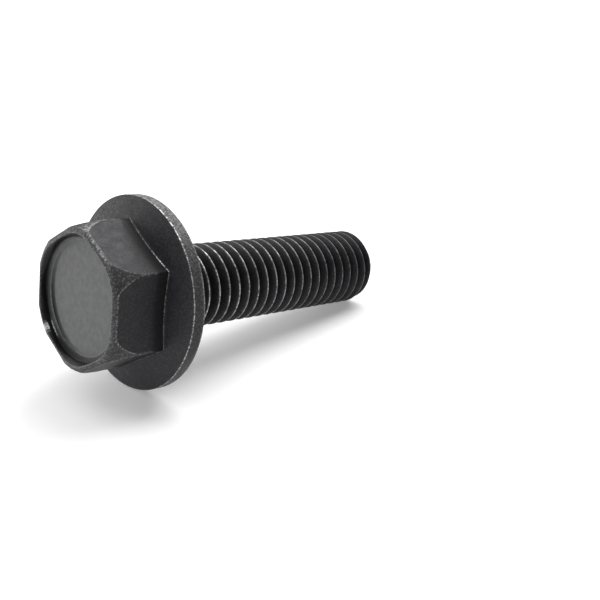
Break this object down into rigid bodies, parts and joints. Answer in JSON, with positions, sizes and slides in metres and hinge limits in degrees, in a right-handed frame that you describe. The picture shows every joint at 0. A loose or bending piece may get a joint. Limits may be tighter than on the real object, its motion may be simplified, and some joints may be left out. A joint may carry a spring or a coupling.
{
  "type": "flange bolt",
  "caption": "Hexagon flange bolt with a recessed head face and a thread up to the head, for clamping parts together without a loose washer.",
  "frame": {"origin": "on the bolt's axis, in the plane of the lip of the head face, on which the bolt stands", "axes": "+Z along the bolt's axis, from the head face to the threaded end; +X through a corner of the hexagon"},
  "size_m": [0.0176, 0.0176, 0.0362],
  "materials": {
    "black_steel": "satin"
  },
  "bodies": {
    "root": {"flange_bolt": "black_steel"}
  },
  "joints": []
}
